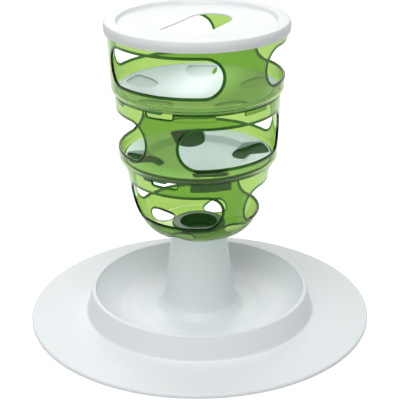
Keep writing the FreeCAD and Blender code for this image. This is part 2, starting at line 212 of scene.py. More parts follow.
# Places round a rectangle, anticlockwise from its low left corner, from the places along two of its sides
def roundBox(across, up):
    x = [across[:-1], np.full(len(up) - 1, across[-1]), across[:0:-1], np.full(len(up) - 1, across[0])]
    y = [np.full(len(across) - 1, up[0]), up[:-1], np.full(len(across) - 1, up[-1]), up[:0:-1]]
    return np.concatenate(x), np.concatenate(y)


# Frame of a ring's sector: a rectangle of turns and radii, bent so that its middle lies along +y
def sectorFrame(inner, outer, angle, across, side):
    turns = np.radians(np.linspace(-angle / 2, angle / 2, across + 1))
    turn, radius = roundBox(turns, np.linspace(inner, outer, side + 1))
    return np.stack([radius * np.sin(turn), radius * np.cos(turn)], 1)


# Rows of a sheet round a hole, from its frame to the hole's rounded edge and back underneath.
# A row is the outline moved into the sheet, or a share of the way from there to the frame.
# The edge's rows are two quarter circles and, where a lip is given, so much of the flat beside each
def piercedRows(hole, away, border, toSpace, wall, rounding, rows, lip=0.0):
    crowding, bendPoints = 1.4, 6           # crowding above 1 draws the rows together towards the hole
    grown = hole + away * (rounding + lip)
    shares = np.linspace(1, 0, rows) ** crowding
    bend = np.radians(np.linspace(0, 90, bendPoints))[0 if lip else 1:]
    lines = [(grown + (border - grown) * share, 0) for share in shares]
    lines += [(hole + away * rounding * (1 - math.sin(b)), rounding * (1 - math.cos(b))) for b in bend]
    lines += [(points, wall - depth) for points, depth in reversed(lines)]
    edge = range(rows - 1, len(lines) - rows)
    return np.stack([toSpace(points, depth) for points, depth in lines]), edge, mainKind


# How many faces meet at each edge: the number of face corners that belong to it
def edgeUses(mesh):
    edges = np.zeros(len(mesh.loops), np.int32)
    mesh.loops.foreach_get("edge_index", edges)
    return np.bincount(edges, minlength=len(mesh.edges))


# Joins patches into one closed mesh. A patch is a grid of points, its edge rows and its kind. A face joins
# two neighbours in a row to the same two in the next row, and the last column is a neighbour of the first
def meshOf(name, patches, sharpAngle=35):
    samePlace, leastEdge = 3e-6, 1e-7       # metres
    points, faces, kinds, base = [], [], [], 0
    for grid, edge, kind in patches:
        rows, around = grid.shape[:2]
        row, column = np.meshgrid(np.arange(rows - 1), np.arange(around), indexing="ij")
        here, beside = row * around + column, row * around + (column + 1) % around
        faces.append((base + np.stack([here, beside, beside + around, here + around], -1)).reshape(-1, 4))
        kinds.append(np.where(np.isin(row, list(edge)), edgeKind, kind).astype(np.int32).ravel())
        points.append(grid.reshape(-1, 3) * millimetre)
        base += rows * around
    mesh = bpy.data.meshes.new(name)
    mesh.from_pydata(np.concatenate(points), [], np.concatenate(faces))
    mesh.polygons.foreach_set("material_index", np.concatenate(kinds))
    work = bmesh.new()
    work.from_mesh(mesh)
    bmesh.ops.remove_doubles(work, verts=work.verts, dist=samePlace)
    bmesh.ops.dissolve_degenerate(work, edges=work.edges, dist=leastEdge)
    bmesh.ops.recalc_face_normals(work, faces=work.faces)
    work.to_mesh(mesh)
    work.free()
    mesh.shade_smooth()
    mesh.set_sharp_from_angle(angle=math.radians(sharpAngle))
    piece = bpy.data.objects.new(name, mesh)
    bpy.context.scene.collection.objects.link(piece)
    print(name, "faces", len(mesh.polygons), "open edges", int(np.sum(edgeUses(mesh) != 2)))
    return piece


# One output in a node tree; sums, products and powers with numbers or other outputs add Math nodes
class Wire:
    def __init__(self, finish, socket):
        self.finish = finish
        self.socket = socket

    def maths(self, operation, first, second):
        return self.finish.node("ShaderNodeMath", {"operation": operation}, {0: first, 1: second})

    def __add__(self, other):
        return self.maths("ADD", self, other)

    def __sub__(self, other):
        return self.maths("SUBTRACT", self, other)

    def __rsub__(self, other):
        return self.maths("SUBTRACT", other, self)

    def __mul__(self, other):
        return self.maths("MULTIPLY", self, other)

    def __pow__(self, other):
        return self.maths("POWER", self, other)

    def either(self, other):
        return self.maths("MAXIMUM", self, other)

    __radd__ = __add__
    __rmul__ = __mul__


# A material or world whose nodes all come from one method
class Finish:
    def __init__(self, owner):
        owner.use_nodes = True
        self.owner = owner
        self.tree = owner.node_tree
        self.tree.nodes.clear()

    # Settings such as a Math node's operation come first, then the sockets' values or links
    def node(self, kind, settings={}, sockets={}, output=0):
        made = self.tree.nodes.new(kind)
        for key, value in settings.items():
            setattr(made, key, value)
        for key, value in sockets.items():
            if isinstance(value, Wire):
                self.tree.links.new(value.socket, made.inputs[key])
            else:
                made.inputs[key].default_value = value
        if len(made.outputs):
            return Wire(self, made.outputs[output])

    # The scale is in lumps to the metre
    def noise(self, scale, detail=3.0):
        place = self.node("ShaderNodeTexCoord", output="Object")
        return self.node("ShaderNodeTexNoise", {}, {"Vector": place, "Scale": scale, "Detail": detail}, "Fac")

    def bump(self, strength, distance, height):
        return self.node("ShaderNodeBump", {}, {"Strength": strength, "Distance": distance, "Height": height})

    def blendColour(self, share, first, second):
        return self.node("ShaderNodeMix", {"data_type": "RGBA"}, {0: share, 6: first, 7: second}, 2)

    # Gives the finished material or world back, with this shader as what shows
    def shown(self, shader, kind="ShaderNodeOutputMaterial"):
        self.node(kind, {}, {"Surface": shader})
        return self.owner


whitePlastic = {
    "tray": {"light": (0.80, 0.835, 0.85, 1), "shade": (0.78, 0.815, 0.835, 1),
             "roughness": 0.42, "grain": 0.10},
    "lid": {"light": (0.845, 0.86, 0.87, 1), "shade": (0.83, 0.845, 0.855, 1),
            "roughness": 0.34, "grain": 0.06, "through": 0.22},
    # the discs' white, raised nearly to full and tinted blue-green, is painted light: light coloured by the
    # green walls, which lamps and scattered light pass almost uncoloured
    "disc": {"light": (0.905, 0.985, 0.965, 1), "shade": (0.885, 0.97, 0.95, 1),
             "roughness": 0.38, "grain": 0.08},
    "floor": {"light": (0.80, 0.87, 0.85, 1), "shade": (0.77, 0.85, 0.83, 1),
              "roughness": 0.42, "grain": 0.08},
    "cloudScale": 14, "sheenScale": 60, "sheenSpread": 0.10,
    "grainScale": 1600, "grainDetail": 2, "grainDepth": 0.0002, "ior": 1.46,
}


# Moulded white plastic: faint cloudy colour, an uneven satin gloss and a fine spark-eroded grain.
# The thin lid also lets a share of the light through
def makeWhite(name, look):
    white = whitePlastic
    finish = Finish(bpy.data.materials.new(name))
    colour = finish.blendColour(finish.noise(white["cloudScale"]), look["light"], look["shade"])
    sheen = look["roughness"] + white["sheenSpread"] * (finish.noise(white["sheenScale"]) - 0.5)
    grain = finish.bump(look["grain"], white["grainDepth"],
                        finish.noise(white["grainScale"], white["grainDetail"]))
    body = finish.node("ShaderNodeBsdfPrincipled", {}, {
        "Base Color": colour, "Roughness": sheen, "Normal": grain, "IOR": white["ior"]})
    if "through" in look:
        glow = finish.node("ShaderNodeBsdfTranslucent", {}, {"Color": look["light"]})
        body = finish.node("ShaderNodeMixShader", {}, {0: look["through"], 1: body, 2: glow})
    return finish.shown(body)


greenPlastic = {
    "wall": {"thin": (0.355, 0.555, 0.125, 1), "steep": (0.13, 0.30, 0.035, 1),
             "mirror": (0.6, 0.6, 0.6, 1)},
    # the edge's much darker colours are painted shade on the tubs' rounded edges and the strip beside them,
    # for the light the edge bends away; its dim mirror keeps them dark
    "edge": {"thin": (0.04, 0.135, 0.016, 1), "steep": (0.012, 0.045, 0.006, 1),
             "mirror": (0.12, 0.12, 0.12, 1)},
    "shadow": (0.87, 0.985, 0.90, 1), "ior": 1.48, "deepening": 1.7,
    "roughness": 0.02, "sheenScale": 45, "sheenSpread": 0.03,
    "waveScale": 70, "waveDetail": 1, "waveStrength": 0.03, "waveDepth": 0.0005,
}


# Clear green plastic. Seen along itself it goes from its thin colour to its steep one, as the light has come
# further through it. Lamps and scattered light pass straight through
def makeGreen(name, look):
    green = greenPlastic
    finish = Finish(bpy.data.materials.new(name))
    facing = finish.node("ShaderNodeLayerWeight", {}, {"Blend": 0.5}, "Facing")
    colour = finish.blendColour(facing ** green["deepening"], look["thin"], look["steep"])
    sheen = green["roughness"] + green["sheenSpread"] * finish.noise(green["sheenScale"])
    wave = finish.bump(green["waveStrength"], green["waveDepth"],
                       finish.noise(green["waveScale"], green["waveDetail"]))
    clear = finish.node("ShaderNodeBsdfPrincipled", {}, {
        "Base Color": colour, "Roughness": sheen, "Normal": wave, "IOR": green["ior"],
        "Specular Tint": look["mirror"], "Transmission Weight": 1.0})
    passing = finish.node("ShaderNodeBsdfTransparent", {}, {"Color": green["shadow"]})
    shadowRay = finish.node("ShaderNodeLightPath", output="Is Shadow Ray")
    scattered = finish.node("ShaderNodeLightPath", output="Is Diffuse Ray")
    return finish.shown(finish.node("ShaderNodeMixShader", {}, {
        0: shadowRay.either(scattered), 1: clear, 2: passing}))


# dark greens, partly the plastic's own and partly painted shade: the deep shade behind the tabs and lugs, in
# the cup and under the middle disc
deepShadePlastic = {
    "tub": {"light": (0.06, 0.195, 0.045, 1), "shade": (0.045, 0.16, 0.034, 1),
            "roughness": 0.22, "gloss": 0.3},
    # the middle floor, darker and duller: partly painted shade for the pocket under the middle disc's holes
    "floor": {"light": (0.035, 0.118, 0.023, 1), "shade": (0.026, 0.096, 0.016, 1),
              "roughness": 0.45, "gloss": 0.08},
    "cloudScale": 30, "sheenScale": 45, "sheenSpread": 0.06,
    "waveScale": 70, "waveDetail": 1, "waveStrength": 0.05, "waveDepth": 0.0005,
}


# The same plastic where it is thick or backed: light that goes in hardly comes out again
# Its dark colour is partly the plastic's own and partly painted shade
def makeDeepShadeGreen(name, look):
    deep = deepShadePlastic
    finish = Finish(bpy.data.materials.new(name))
    colour = finish.blendColour(finish.noise(deep["cloudScale"]), look["light"], look["shade"])
    sheen = look["roughness"] + deep["sheenSpread"] * finish.noise(deep["sheenScale"])
    wave = finish.bump(deep["waveStrength"], deep["waveDepth"],
                       finish.noise(deep["waveScale"], deep["waveDetail"]))
    return finish.shown(finish.node("ShaderNodeBsdfPrincipled", {}, {
        "Base Color": colour, "Roughness": sheen, "Normal": wave, "Specular IOR Level": look["gloss"]}))


rubber = {
    "light": (0.045, 0.047, 0.047, 1), "shade": (0.06, 0.062, 0.06, 1), "cloudScale": 220,
    "roughness": 0.75, "sheenScale": 150, "sheenSpread": 0.1,
    "grain": 0.3, "grainScale": 900, "grainDepth": 0.0003,
}


# Matt dark rubber with a coarse grain
def makeRubber(name):
    finish = Finish(bpy.data.materials.new(name))
    colour = finish.blendColour(finish.noise(rubber["cloudScale"]), rubber["light"], rubber["shade"])
    sheen = rubber["roughness"] + rubber["sheenSpread"] * finish.noise(rubber["sheenScale"])
    grain = finish.bump(rubber["grain"], rubber["grainDepth"], finish.noise(rubber["grainScale"]))
    return finish.shown(finish.node("ShaderNodeBsdfPrincipled", {}, {
        "Base Color": colour, "Roughness": sheen, "Normal": grain}))


trayWhite = makeWhite("tray white", whitePlastic["tray"])
lidWhite = makeWhite("lid white", whitePlastic["lid"])
discGreenLitWhite = makeWhite("disc green lit white", whitePlastic["disc"])
floorWhite = makeWhite("floor white", whitePlastic["floor"])
clearGreen = makeGreen("clear green", greenPlastic["wall"])
# painted shade for the tubs' edges
edgeShadeGreen = makeGreen("green edge shade", greenPlastic["edge"])
deepShadeGreen = makeDeepShadeGreen("deep green shade", deepShadePlastic["tub"])
floorShadeGreen = makeDeepShadeGreen("floor green shade", deepShadePlastic["floor"])
padRubber = makeRubber("pad rubber")
print("finishes made")


# Gives a piece its materials, in the order of the kinds, and its place among the part's bodies
def finishPiece(piece, materials, body, slot, *nodes):
    for material in materials:
        piece.data.materials.append(material)
    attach(piece, body)
    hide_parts(*nodes)


# What the tubs share. An edge's rows are those from the frame of its sheet to the rounding.
# The curl's middle lies at the shares curlOut and curlUp of its way out and up
tubWall = 2.6
# the rounded edges and their lips take the edge material, whose dark green is painted shade
tubEdges = {
    "window": {"rounding": 1.2, "rows": 8, "lip": 1.8},
    "rim": {"rounding": 0.9, "rows": 6, "lip": 0.8},
    "drain": {"rounding": 0.9, "rows": 7, "lip": 0.6},
}
slotRounds = {"mouth": 1.4, "floor": 2.5}
lockBlock = {"rounding": 0.6, "thickness": 2.0, "offShelf": 0.02, "intoFoot": 0.8}
tubFoot = {
    "curlStart": 0.9, "curlOut": 0.72, "curlUp": 0.42, "outerRound": 0.85,
    "shelfWall": 1.2, "shelfRound": 0.4, "insideStart": 0.6, "insideStep": 0.3, "insideRound": 0.5,
}

# A window, slot, lug, tab or key is given once and comes three times round, and the drain comes four times
lowerTub = {
    "flatFrom": 26.0, "flatTo": 41.0, "bottom": 103.0, "rimRadius": 77.3, "rimHeight": 180.8,
    "belly": [(48.0, 104.5), (53.6, 107.9), (59.0, 113.8), (64.2, 122.8), (68.2, 133.8), (71.2, 146.5),
              (73.6, 160.0)],
    "window": {"azimuth": -28.7, "height": 143.6, "halfHeight": 18.0, "halfSpan": 48.6},
    "windowRadius": 73.6, "bandLow": 120.5, "bandHigh": 167.5, "slot": (-38.0, -16.6), "slotDepth": 7.5,
    "drain": {"azimuth": 65.3, "ring": 43.6, "radius": 12.6}, "plateIn": 28.8, "plateOut": 60.5,
    # the section from the plate inwards, round the groove and plug underneath and over the boss and cup
    "bossUnder": [(25.7, 103.0, 0.4), (25.7, 105.8), (22.8, 105.8), (22.8, 95.4, 0.8), (0, 95.4)],
    "bossOver": [(28.6, 105.6, 0.1), (27.6, 107.5, 0.9), (19.8, 107.5, 0.9), (18.6, 98.0, 2.0), (0, 98.0)],
}
middleTub = {
    "bottom": 180.8, "bottomRadius": 80.2, "curlRadius": 83.2, "curlHeight": 190.0,
    "rimRadius": 85.6, "rimHeight": 255.0,
    "window": {"azimuth": 33.7, "height": 217.9, "halfHeight": 20.4, "halfSpan": 47.1},
    "windowRadius": 83.2, "bandLow": 192.5, "bandHigh": 243.8, "slot": (-36.8, -17.0), "slotDepth": 6.0,
    "shelf": 70.34, "lug": (-37.2, -25.3), "lugHeight": 3.3, "lugOuter": 77.1,
    # the middle tub's tabs and keys take the dark green that is partly painted shade
    "tab": (-6.6, 27.0), "tabDrop": 11.0, "key": (70.0, 78.0), "keyDrop": 6.5, "tabKind": deepShadeKind,
}
upperTub = {
    "bottom": 255.0, "bottomRadius": 86.0, "curlRadius": 89.2, "curlHeight": 264.0,
    "rimRadius": 92.1, "rimHeight": 327.2,
    "window": {"azimuth": -27.6, "height": 292.0, "halfHeight": 18.7, "halfSpan": 43.5},
    "windowRadius": 89.2, "bandLow": 267.0, "bandHigh": 317.0, "slot": None,
    "shelf": 80.29, "lug": (-36.0, -25.0), "lugHeight": 2.2, "lugOuter": 85.4,
    "tab": (-17.8, 12.4), "tabDrop": 8.5, "key": (34.0, 55.0), "keyDrop": 6.5, "tabKind": mainKind,
}


# Azimuths of the columns, starting at the left of the first window's third
def tubAzimuths(tub):
    return tub["window"]["azimuth"] - 60 + stepAngle * np.arange(columns)


# The band of the wall that holds the three windows. Each third is a sheet pierced by a long hole: x is
# the way round at the windows' radius, and y the height above the windows' middle
def windowBand(tub, wall):
    window, radius = tub["window"], tub["windowRadius"]
    end = window["halfSpan"] - math.degrees(math.asin(window["halfHeight"] / radius))
    outline, corners = stadiumOutline(radius * math.radians(end), window["halfHeight"])
    across, side = columns // 3, 26
    hole, away = alongOutline(outline, corners, (across, side, across, side))
    half = radius * math.radians(60)
    low, high = tub["bandLow"] - window["height"], tub["bandHigh"] - window["height"]
    border = np.stack(roundBox(np.linspace(-half, half, across + 1), np.linspace(low, high, side + 1)), 1)
    patches = []
    for third in range(3):
        def toSpace(points, depth):
            azimuth = window["azimuth"] + 120 * third + np.degrees(points[:, 0] / radius)
            return turnedPoint(azimuth, *inWall(wall, lengthAt(wall, points[:, 1] + window["height"]), depth))
        patches.append(piercedRows(hole, away, border, toSpace, tubWall, **tubEdges["window"]))
    return patches


# The rim: a sheet from the windows' band to the top edge, which runs down and up again in three slots.
# x is the way round at the rim's radius, and y the height
def rimBand(tub, wall):
    near = 0.2                              # the way along runs from this far before a point to as far after
    radius, height = tub["rimRadius"], tub["rimHeight"]
    turn = radius * 2 * math.pi
    start = radius * math.radians(tub["window"]["azimuth"] - 60)
    plain = start + turn * np.arange(columns) / columns
    if tub["slot"]:
        first, last = (radius * math.radians(azimuth) for azimuth in tub["slot"])
        low, middle = height - tub["slotDepth"], (first + last) / 2
        mouth, floor = slotRounds["mouth"], slotRounds["floor"]
        part = roundedLine([(middle - turn / 6, height), (first, height, mouth), (first, low, floor),
                            (last, low, floor), (last, height, mouth), (middle + turn / 6, height)], 9)
        line = np.concatenate([part[:-1] + [turn / 3 * third, 0] for third in range(-2, 4)])
        at = lengthAlong(line)
        period = at[len(part) - 1]
        where = np.interp(start, line[:, 0], at) + period / (columns // 3) * np.arange(columns)
        top = pointsAt(line, at, where)
        run = pointsAt(line, at, where + near) - pointsAt(line, at, where - near)
    else:
        top = np.stack([plain, np.full(columns, height)], 1)
        run = np.tile([1.0, 0.0], (columns, 1))
    border = np.stack([plain, np.full(columns, tub["bandHigh"])], 1)

    def toSpace(points, depth):
        azimuth = np.degrees(points[:, 0] / radius)
        return turnedPoint(azimuth, *inWall(wall, lengthAt(wall, points[:, 1]), depth))
    return piercedRows(top, rightOf(run), border, toSpace, tubWall, **tubEdges["rim"])


# A block bent round the axis. Its section is a rounded rectangle that draws in along a quarter circle
# at both ends and closes to a point there
def bentBlock(inner, outer, low, high, first, last, kind):
    rounding = lockBlock["rounding"]
    middle = np.array([(inner + outer) / 2, (low + high) / 2])
    half = np.array([(outer - inner) / 2, (high - low) / 2])
    section = roundedLine([(middle[0], low), (outer, low, rounding), (outer, high, rounding),
                           (inner, high, rounding), (inner, low, rounding), (middle[0], low)], 5)[:-1]
    bend = np.radians(np.linspace(0, 90, 5))
    along = np.degrees(rounding * (1 - np.cos(bend)) / middle[0])
    drawn = rounding * (1 - np.sin(bend))
    between = np.linspace(first, last, max(8, int(last - first)))[1:-1]       # about one to a degree
    turns = np.concatenate([[first], first + along, between, last - along[::-1], [last]])
    drawIn = np.concatenate([[half.max()], drawn, 0 * between, drawn[::-1], [half.max()]])
    share = np.clip((half - drawIn[:, None]) / half, 0, 1)
    sized = middle + (section - middle) * share[:, None, :]
    return turnedPoint(turns[:, None], sized[..., 0], sized[..., 1]), (), kind


# Lugs that stand in the slots of the rim below, and tabs and keys, under a tub's foot
def lockBlocks(tub):
    inner = tub["shelf"] + lockBlock["offShelf"]
    thin = tub["shelf"] + lockBlock["thickness"]
    low, high = tub["bottom"], tub["bottom"] + lockBlock["intoFoot"]
    sorts = ((tub["lugOuter"], tub["lugHeight"], tub["lug"], deepShadeKind),
             (thin, tub["tabDrop"], tub["tab"], tub["tabKind"]),
             (thin, tub["keyDrop"], tub["key"], tub["tabKind"]))
    return [bentBlock(inner, outer, low - drop, high, span[0] + turn, span[1] + turn, kind)
            for turn in (0, 120, 240) for outer, drop, span, kind in sorts]


# Middle and upper tub: the foot is a curl with a narrow shelf inside it
def uprightTub(name, tub):
    bottom, bottomRadius = tub["bottom"], tub["bottomRadius"]
    curlRadius, curlHeight = tub["curlRadius"], tub["curlHeight"]
    curlMiddle = (bottomRadius + tubFoot["curlOut"] * (curlRadius - bottomRadius),
                  bottom + tubFoot["curlUp"] * (curlHeight - bottom))
    curl = arcThrough((bottomRadius, bottom + tubFoot["curlStart"]), curlMiddle, (curlRadius, curlHeight), 20)
    side = np.linspace((curlRadius, curlHeight), (tub["rimRadius"], tub["rimHeight"]), 60)[1:]
    wall = wallLine(np.concatenate([curl, side]))
    lowLength = lengthAt(wall, tub["bandLow"])
    outside = np.stack(inWall(wall, np.linspace(lowLength, 0, 16), 0), 1)
    inside = np.stack(inWall(wall, np.linspace(tubFoot["insideStart"], lowLength, 14), tubWall), 1)
    shelf, shelfTop, shelfRound = tub["shelf"], bottom + tubFoot["shelfWall"], tubFoot["shelfRound"]
    foot = roundedLine([tuple(outside[-1]), (bottomRadius, bottom, tubFoot["outerRound"]),
                        (shelf, bottom, shelfRound), (shelf, shelfTop, shelfRound),
                        (inside[0][0] - tubFoot["insideStep"], shelfTop, tubFoot["insideRound"]),
                        tuple(inside[0])], 6)
    line = np.concatenate([outside, foot[1:-1], inside])
    footPatch = (turnedGrid(line, tubAzimuths(tub)), (), mainKind)
    return meshOf(name, [*windowBand(tub, wall), rimBand(tub, wall), footPatch, *lockBlocks(tub)])


# Lower tub: a bowl with four round drains in its bottom plate and a capped boss with a cup
def bowlTub(name, tub):
    drain, plateIn, plateOut = tub["drain"], tub["plateIn"], tub["plateOut"]
    firstRising = 40                        # past the flat bottom and the start of the belly
    ends = [(tub["flatTo"], tub["bottom"]), (tub["rimRadius"], tub["rimHeight"])]
    belly = smoothThrough([ends[0], *tub["belly"], ends[1]], 400)
    flat = np.linspace((tub["flatFrom"], tub["bottom"]), ends[0], 30)[:-1]
    wall = wallLine(np.concatenate([flat, belly]), firstRising)
    inLength, outLength = np.interp((plateIn, plateOut), wall["radius"], wall["length"])
    patches = [*windowBand(tub, wall), rimBand(tub, wall)]

    azimuths = tubAzimuths(tub)
    plateAzimuths = drain["azimuth"] - 45 + stepAngle * np.arange(columns)
    lean = np.linspace((plateAzimuths[0] - azimuths[0]) % stepAngle, 0, 8)      # plate's columns to wall's
    for depth in (0, tubWall):
        radius, height = inWall(wall, np.linspace(outLength, lengthAt(wall, tub["bandLow"]), 8), depth)
        grid = turnedPoint(azimuths[None, :] + lean[:, None], radius[:, None], height[:, None])
        patches.append((grid, (), mainKind))

    across, side = columns // 4, 20
    outline, corners = roundOutline(drain["radius"])
    hole, away = alongOutline(outline, corners, (across, side, across, side))
    border = sectorFrame(plateIn, plateOut, 90, across, side)
    for quarter in range(4):
        def toSpace(points, depth):
            radius, turn = np.hypot(points[:, 0], points[:, 1]), np.arctan2(points[:, 0], points[:, 1])
            length = np.interp(radius, wall["radius"], wall["length"])
            azimuth = np.degrees(turn + np.radians(drain["azimuth"] + 90 * quarter))
            return turnedPoint(azimuth, *inWall(wall, length, depth))
        patches.append(piercedRows(hole + [0, drain["ring"]], away, border, toSpace, tubWall,
                                   **tubEdges["drain"]))

    # groove, plug, boss and cup take the dark green that is partly painted shade
    for depth, boss in ((0, tub["bossUnder"]), (tubWall, tub["bossOver"])):
        line = roundedLine([inWall(wall, inLength, depth), *boss])
        patches.append((turnedGrid(line, plateAzimuths), (), deepShadeKind))
    return meshOf(name, patches)


lowerPiece = bowlTub("lower_tub_clear", lowerTub)
middlePiece = uprightTub("middle_tub_clear", middleTub)
upperPiece = uprightTub("upper_tub_clear", upperTub)
finishPiece(lowerPiece, [clearGreen, edgeShadeGreen, deepShadeGreen], "lower_stage", "tub_green", "lower_tub")
finishPiece(middlePiece, [clearGreen, edgeShadeGreen, deepShadeGreen], "middle_stage", "tub_green", "middle_tub")
finishPiece(upperPiece, [clearGreen, edgeShadeGreen, deepShadeGreen], "upper_stage", "tub_green", "upper_tub")
print("tubs built")


# A hole is (its nose, half its width, its outer end, the rounding there). inner and outer frame the holes
discSheet = {
    "dishDepth": 10.5, "wall": 1.2, "gap": 0.4, "rimRound": 0.5, "edge": {"rounding": 0.45, "rows": 22},
    "pinRadius": 6.0, "pinLength": 4.0, "pinRound": 0.6,
}
middleDisc = {
    "floor": "middle_floor", "radius": 76.0, "firstHole": 11.0, "holes": 4, "hole": (37.0, 18.3, 74.5, 7.0),
    "inner": 30.0, "outer": 75.3,
    "border": {"start": 44.5, "foot": 48.5, "footRound": 3.0, "crest": 55.2, "crestRound": 2.0, "drop": 0.3},
}
upperDisc = {
    "floor": "upper_floor", "radius": 78.4, "firstHole": -112.0, "holes": 5, "hole": (46.5, 16.5, 76.0, 6.0),
    "inner": 38.0, "outer": 77.2, "border": None,
}


# A dished disc: part of a ball's shell, with a pin under its middle and round-nosed holes. The ball dips by
# the dish's depth across the floor, so its radius is (floor's radius squared + depth squared) / (2 depth).
# The middle disc also has a flat border, whose slope leaves the dish at its foot
def makeDisc(name, disc):
    depth, wall = discSheet["dishDepth"], discSheet["wall"]
    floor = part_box(disc["floor"])[1]
    full, floorTop = floor[0] / millimetre, floor[2] / millimetre
    ball = (full ** 2 + depth ** 2) / (2 * depth)
    low = floorTop + discSheet["gap"] + wall - depth
    rim, inner, outer, border = (disc[key] for key in ("radius", "inner", "outer", "border"))

    def dish(radius):
        return low + ball - np.sqrt(ball ** 2 - radius ** 2)

    radii = np.linspace(0, rim, 60)
    top = np.stack([radii, dish(radii)], 1)
    if border:
        start, foot = border["start"], border["foot"]
        slope = roundedLine([(start, dish(start)), (foot, dish(foot), border["footRound"]),
                             (border["crest"], dish(rim) - border["drop"], border["crestRound"]),
                             (rim, dish(rim))], 9)
        top = np.concatenate([top[radii < start], slope])

    def upper(radius):
        return np.interp(radius, top[:, 0], top[:, 1])

    outline, corners = noseOutline(*disc["hole"])
    sector, across, side = 360 / disc["holes"], columns // disc["holes"], 36
    hole, away = alongOutline(outline, corners, (across, side, across, side))
    frameLine = sectorFrame(inner, outer, sector, across, side)
    patches = []
    for number in range(disc["holes"]):
        centre = disc["firstHole"] + sector * number

        def toSpace(points, depth):
            radius = np.hypot(points[:, 0], points[:, 1])
            height = upper(radius) - depth if depth < wall / 2 else dish(radius) - depth
            return turnedPoint(np.degrees(np.arctan2(points[:, 0], points[:, 1])) + centre, radius, height)
        patches.append(piercedRows(hole, away, frameLine, toSpace, wall, **discSheet["edge"]))

    pin, pinRound = discSheet["pinRadius"], discSheet["pinRound"]
    pinLow = low - wall / 2 - discSheet["pinLength"]
    radii = np.linspace(inner, 0, 12)
    middle = np.stack([radii, upper(radii)], 1)
    radii = np.linspace(inner, pin, 10)
    under = np.concatenate([np.stack([radii, dish(radii) - wall], 1),
                            roundedLine([(pin, low - wall), (pin, pinLow, pinRound), (0, pinLow)])[1:]])
    edge = roundedLine([(outer, upper(outer)), (rim, upper(rim), discSheet["rimRound"]),
                        (rim, dish(rim) - wall, discSheet["rimRound"]), (outer, dish(outer) - wall)])
    azimuths = disc["firstHole"] - sector / 2 + stepAngle * np.arange(columns)
    patches += [(turnedGrid(line, azimuths), (), mainKind) for line in (middle, under, edge)]
    return meshOf(name, patches)


middleDiscPiece = makeDisc("middle_disc_white", middleDisc)
upperDiscPiece = makeDisc("upper_disc_white", upperDisc)
# the discs' blue-green white is painted light
finishPiece(middleDiscPiece, [discGreenLitWhite, discGreenLitWhite], "middle_disc", "disc_white", "middle_selector_disc")
finishPiece(upperDiscPiece, [discGreenLitWhite, discGreenLitWhite], "upper_disc", "disc_white", "upper_selector_disc")
print("discs built")


lid = {
    "wall": 1.8, "panelRadius": 79.9, "panelEdge": 326.2, "panelRound": 0.5, "sag": 4.0, "panelFrame": 1.0,
    "slotLength": 99.0, "slotWidth": 46.0, "slotTurn": 60.5, "edge": {"rounding": 0.7, "rows": 14},
    # the section from the panel out over the border, down the skirt and back underneath
    "border": [(82.2, 329.6, 0.7), (93.9, 329.6, 1.6), (95.1, 325.0, 12.0), (94.3, 318.5, 0.5),
               (92.5, 318.5, 0.4), (92.5, 327.2, 0.4), (82.8, 327.2, 0.8)],
    "underPanel": (80.5, 324.4, 0.5),
}


# Lid: a dished panel pierced by the filler slot, inside a turned border and skirt. The panel lies below
# its edge by the sag times (1 - the square of (radius / panel's radius))
def makeLid(name):
    def rise(radius):
        return lid["panelEdge"] - lid["sag"] * (1 - (radius / lid["panelRadius"]) ** 2)

    outline, corners = stadiumOutline((lid["slotLength"] - lid["slotWidth"]) / 2, lid["slotWidth"] / 2)
    quarter = columns // 4
    hole, away = alongOutline(outline, corners, (quarter,) * 4)
    ringTurns = np.radians(225 + stepAngle * np.arange(columns))      # from the low left, as the outline
    frameRadius = lid["panelRadius"] - lid["panelFrame"]
    border = frameRadius * np.stack([np.cos(ringTurns), np.sin(ringTurns)], 1)
    slotTurn = math.radians(lid["slotTurn"])

    def toSpace(points, depth):
        radius = np.hypot(points[:, 0], points[:, 1])
        turn = np.arctan2(points[:, 1], points[:, 0]) + slotTurn
        return np.stack([radius * np.cos(turn), radius * np.sin(turn), rise(radius) - depth], 1)

    panel = piercedRows(hole, away, border, toSpace, lid["wall"], **lid["edge"])
    around = roundedLine([(frameRadius, rise(frameRadius)),
                          (lid["panelRadius"], lid["panelEdge"], lid["panelRound"]),
                          *lid["border"], lid["underPanel"],
                          (frameRadius, rise(frameRadius) - lid["wall"])], 8)
    azimuths = np.degrees(ringTurns + slotTurn) + 90
    return meshOf(name, [panel, (turnedGrid(around, azimuths), (), mainKind)])


lidPiece = makeLid("lid_white_shell")
finishPiece(lidPiece, [lidWhite, lidWhite], "cover", "lid_white", "lid")
print("lid built")


# Parts of the section, in order; the dish's side and the post's flare are arcs through three points
tray = {
    "brim": [(185.0, 0.5), (185.0, 4.4, 1.9), (123.9, 4.7, 3.2), (118.2, 31.4, 1.7), (114.1, 31.4, 0.8)],
    "dishSide": [(114.1, 30.6), (97.0, 13.4), (66.0, 7.6)],
    "flare": [(50.0, 7.6), (41.2, 13.2), (38.8, 19.8)],
    "post": [(28.2, 103.0, 0.8), (25.3, 103.0, 0.2), (25.3, 105.4, 0.6), (23.2, 105.4, 0.4)],
    "inPost": [(23.2, 100.6, 0.5), (25.8, 98.2, 1.0), (36.6, 18.8, 6.0), (49.0, 5.2), (66.4, 5.2, 5.0)],
    "under": [(98.0, 11.1, 8.0), (114.6, 24.4, 1.2), (120.5, 2.0, 1.4), (182.6, 2.0, 0.3),
              (182.6, 0.5, 0.3), (185.0, 0.5)],
    "sharpAngle": 40,
}


